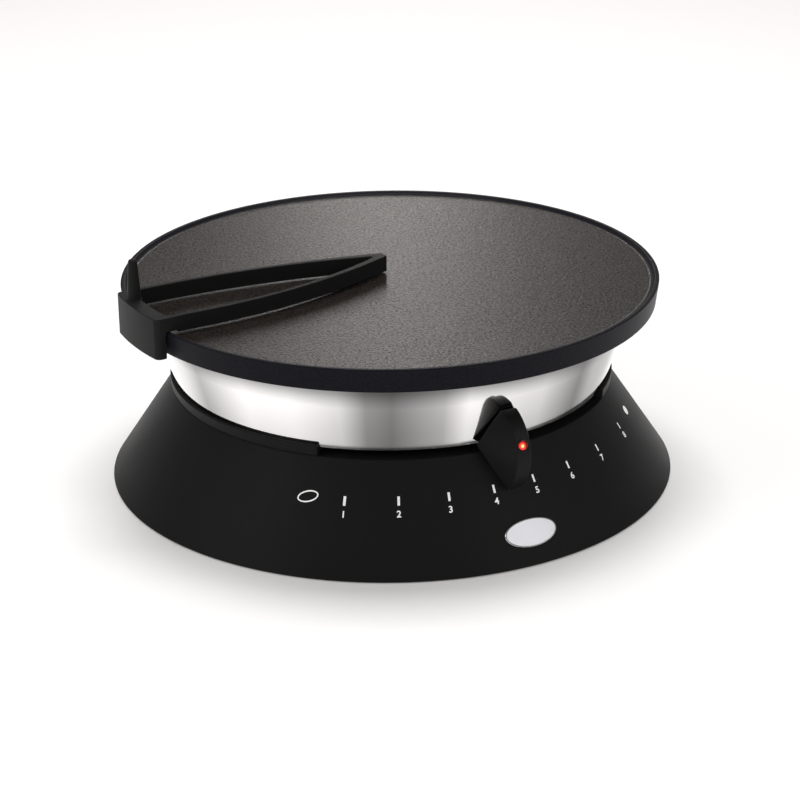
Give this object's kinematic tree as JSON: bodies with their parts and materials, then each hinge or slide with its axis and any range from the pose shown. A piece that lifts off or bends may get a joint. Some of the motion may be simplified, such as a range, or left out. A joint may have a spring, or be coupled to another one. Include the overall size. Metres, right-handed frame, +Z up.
{
  "type": "electric crepe maker",
  "caption": "Round countertop crepe griddle: coated hotplate on a flared steel ring and conical base, waist thermostat lever and a batter spreader that turns round the rim.",
  "frame": {"origin": "centre of the circle that the rubber feet stand on, on the surface under the feet", "axes": "+Z up along the plate axis, -Y towards the user at the front of the lever scale, +X to the user's right"},
  "size_m": [0.3516, 0.3516, 0.1602],
  "materials": {
    "plate_coating": "granular non-stick coating, satin",
    "ring_steel": "fine vertical brushing, nearly polished",
    "black_plastic": "satin black moulding",
    "lever_plastic": "satin black moulding",
    "spreader_plastic": "satin black moulding, slightly textured",
    "badge_white": "smooth blank oval",
    "lens_red": "translucent red",
    "lamp_glass": "small lamp",
    "zinc_steel": "zinc plated",
    "element_sheath": "heat-darkened sheath",
    "ceramic": "pale ceramic",
    "aluminium_sheet": "plain sheet",
    "fibre": "woven heat-proof fibre",
    "cover_paint": "black powder coat",
    "rubber": "plain black rubber"
  },
  "bodies": {
    "base": {"cooking_plate": "plate_coating", "plate_gasket": "fibre", "steel_ring": "ring_steel", "waist_collar": "black_plastic", "base_skirt": "black_plastic", "name_badge": "badge_white", "heating_element": "element_sheath", "element_terminals": "ceramic", "element_clamp_plate": "aluminium_sheet", "insulation_pad": "fibre", "heat_shield": "aluminium_sheet", "thermal_cutout": "ceramic", "tie_rods": "zinc_steel", "tie_rod_nuts": "zinc_steel", "spacer_tubes": "zinc_steel", "thermostat_bracket": "zinc_steel", "bracket_screws": "zinc_steel", "earth_tab": "zinc_steel", "thermostat_body": "ceramic", "thermostat_screws": "zinc_steel", "sensor_rod": "element_sheath", "collar_screws": "zinc_steel", "collar_nuts": "zinc_steel", "bottom_cover": "cover_paint", "cover_screws": "zinc_steel", "rubber_feet": "rubber", "cord_gland": "rubber", "cord_clamp": "black_plastic", "terminal_block": "ceramic"},
    "lever": {"thermostat_shaft": "zinc_steel", "lever_hub": "zinc_steel", "hub_screw": "zinc_steel", "lever_arm": "zinc_steel", "lever_grip": "lever_plastic", "grip_screw": "zinc_steel", "indicator_lens": "lens_red", "indicator_lamp": "lamp_glass"},
    "spreader": {"spreader_frame": "spreader_plastic", "spreader_peg": "spreader_plastic"}
  },
  "joints": [
    {"name": "lever_swing", "type": "hinge", "parent": "base", "child": "lever", "pos_m": [0, 0, 0.062], "axis": [0, 0, 1], "range_deg": [-44, 39.5]},
    {"name": "spreader_turn", "type": "hinge", "parent": "base", "child": "spreader", "pos_m": [0, 0, 0.1263], "axis": [0, 0, 1], "continuous": true}
  ]
}
